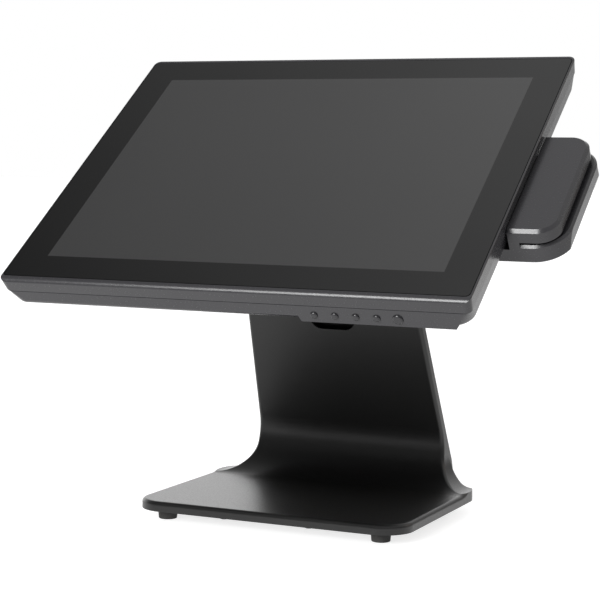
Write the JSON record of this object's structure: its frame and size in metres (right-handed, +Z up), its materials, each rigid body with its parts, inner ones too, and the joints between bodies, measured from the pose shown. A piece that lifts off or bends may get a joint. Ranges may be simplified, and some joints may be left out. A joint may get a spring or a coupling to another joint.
{
  "type": "pos touchscreen terminal",
  "caption": "Countertop point-of-sale terminal: tilting touch display on an L-shaped stand, with side card reader, underside button row and cable slot in the neck.",
  "frame": {"origin": "centre of the four counter-fixing holes, on the underside of the base plate; the feet reach 7.6 mm lower", "axes": "+X to the operator's right, +Y away from the operator, +Z up"},
  "size_m": [0.3951, 0.2497, 0.3478],
  "materials": {
    "cover_glass": "flat toughened glass with a black printed border, anti-glare",
    "moulded_charcoal": "fine-grained satin charcoal moulding",
    "button_charcoal": "smooth satin charcoal moulding",
    "stand_black": "satin black, soft sheen",
    "rubber_black": "matt black rubber",
    "zinc_steel": "zinc-plated sheet steel",
    "dark_steel": "black powder-coated steel",
    "black_screw": "black-oxide steel",
    "fin_aluminium": "extruded aluminium, clear anodised",
    "board_green": "glass-fibre circuit board with its components",
    "socket_metal": "nickel-plated socket shells",
    "panel_module": "liquid-crystal panel in a pressed frame",
    "tape_black": "foam mounting tape",
    "spring_steel": "spring steel"
  },
  "bodies": {
    "stand": {"stand_shell": "stand_black", "stand_rear_cover": "stand_black", "base_plate": "dark_steel", "base_weight": "zinc_steel", "stand_spine": "dark_steel", "hinge_shroud": "stand_black", "hinge_shaft": "zinc_steel", "friction_washers": "spring_steel", "hinge_nuts": "black_screw", "hinge_washers": "black_screw", "rubber_feet": "rubber_black", "foot_screws": "black_screw", "base_screws": "black_screw", "spine_screws": "black_screw"},
    "head": {"touch_glass": "cover_glass", "glass_tape": "tape_black", "front_bezel": "moulded_charcoal", "lcd_panel": "panel_module", "chassis_tray": "zinc_steel", "tray_screws": "zinc_steel", "board_standoffs": "zinc_steel", "main_board": "board_green", "board_screws": "zinc_steel", "heat_sink": "fin_aluminium", "memory_module": "board_green", "storage_module": "board_green", "io_ports": "socket_metal", "speakers": "moulded_charcoal", "touch_controller": "board_green", "rear_cover": "moulded_charcoal", "rear_cover_screws": "black_screw", "push_switches": "moulded_charcoal", "button_board": "board_green", "head_bracket": "dark_steel", "head_bracket_screws": "black_screw", "reader_front": "moulded_charcoal", "reader_liner": "moulded_charcoal", "reader_spacer": "moulded_charcoal", "reader_rear": "moulded_charcoal", "reader_back_plate": "moulded_charcoal", "reader_board": "board_green", "reader_screws": "black_screw", "read_head_spring": "spring_steel"},
    "read_head": {"read_head": "socket_metal"},
    "button_1": {"button_1": "button_charcoal"},
    "button_2": {"button_2": "button_charcoal"},
    "button_3": {"button_3": "button_charcoal"},
    "button_4": {"button_4": "button_charcoal"},
    "power_button": {"power_button": "button_charcoal"}
  },
  "joints": [
    {"name": "head_tilt", "type": "hinge", "parent": "stand", "child": "head", "pos_m": [0, 0.01796, 0.21453], "axis": [1, 0, 0], "range_deg": [-26, 49]},
    {"name": "button_1_press", "type": "slide", "parent": "head", "child": "button_1", "axis": [0, 0.8092, 0.5875], "range_m": [0, 0.0008], "stiffness_N_per_m": 60, "springref_m": -0.01},
    {"name": "button_2_press", "type": "slide", "parent": "head", "child": "button_2", "axis": [0, 0.8092, 0.5875], "range_m": [0, 0.0008], "stiffness_N_per_m": 60, "springref_m": -0.01},
    {"name": "button_3_press", "type": "slide", "parent": "head", "child": "button_3", "axis": [0, 0.8092, 0.5875], "range_m": [0, 0.0008], "stiffness_N_per_m": 60, "springref_m": -0.01},
    {"name": "button_4_press", "type": "slide", "parent": "head", "child": "button_4", "axis": [0, 0.8092, 0.5875], "range_m": [0, 0.0008], "stiffness_N_per_m": 60, "springref_m": -0.01},
    {"name": "power_button_press", "type": "slide", "parent": "head", "child": "power_button", "axis": [0, 0.8092, 0.5875], "range_m": [0, 0.0008], "stiffness_N_per_m": 60, "springref_m": -0.01},
    {"name": "read_head_float", "type": "slide", "parent": "head", "child": "read_head", "axis": [0, -0.5875, 0.8092], "range_m": [0, 0.0008], "stiffness_N_per_m": 800, "springref_m": -0.001}
  ]
}
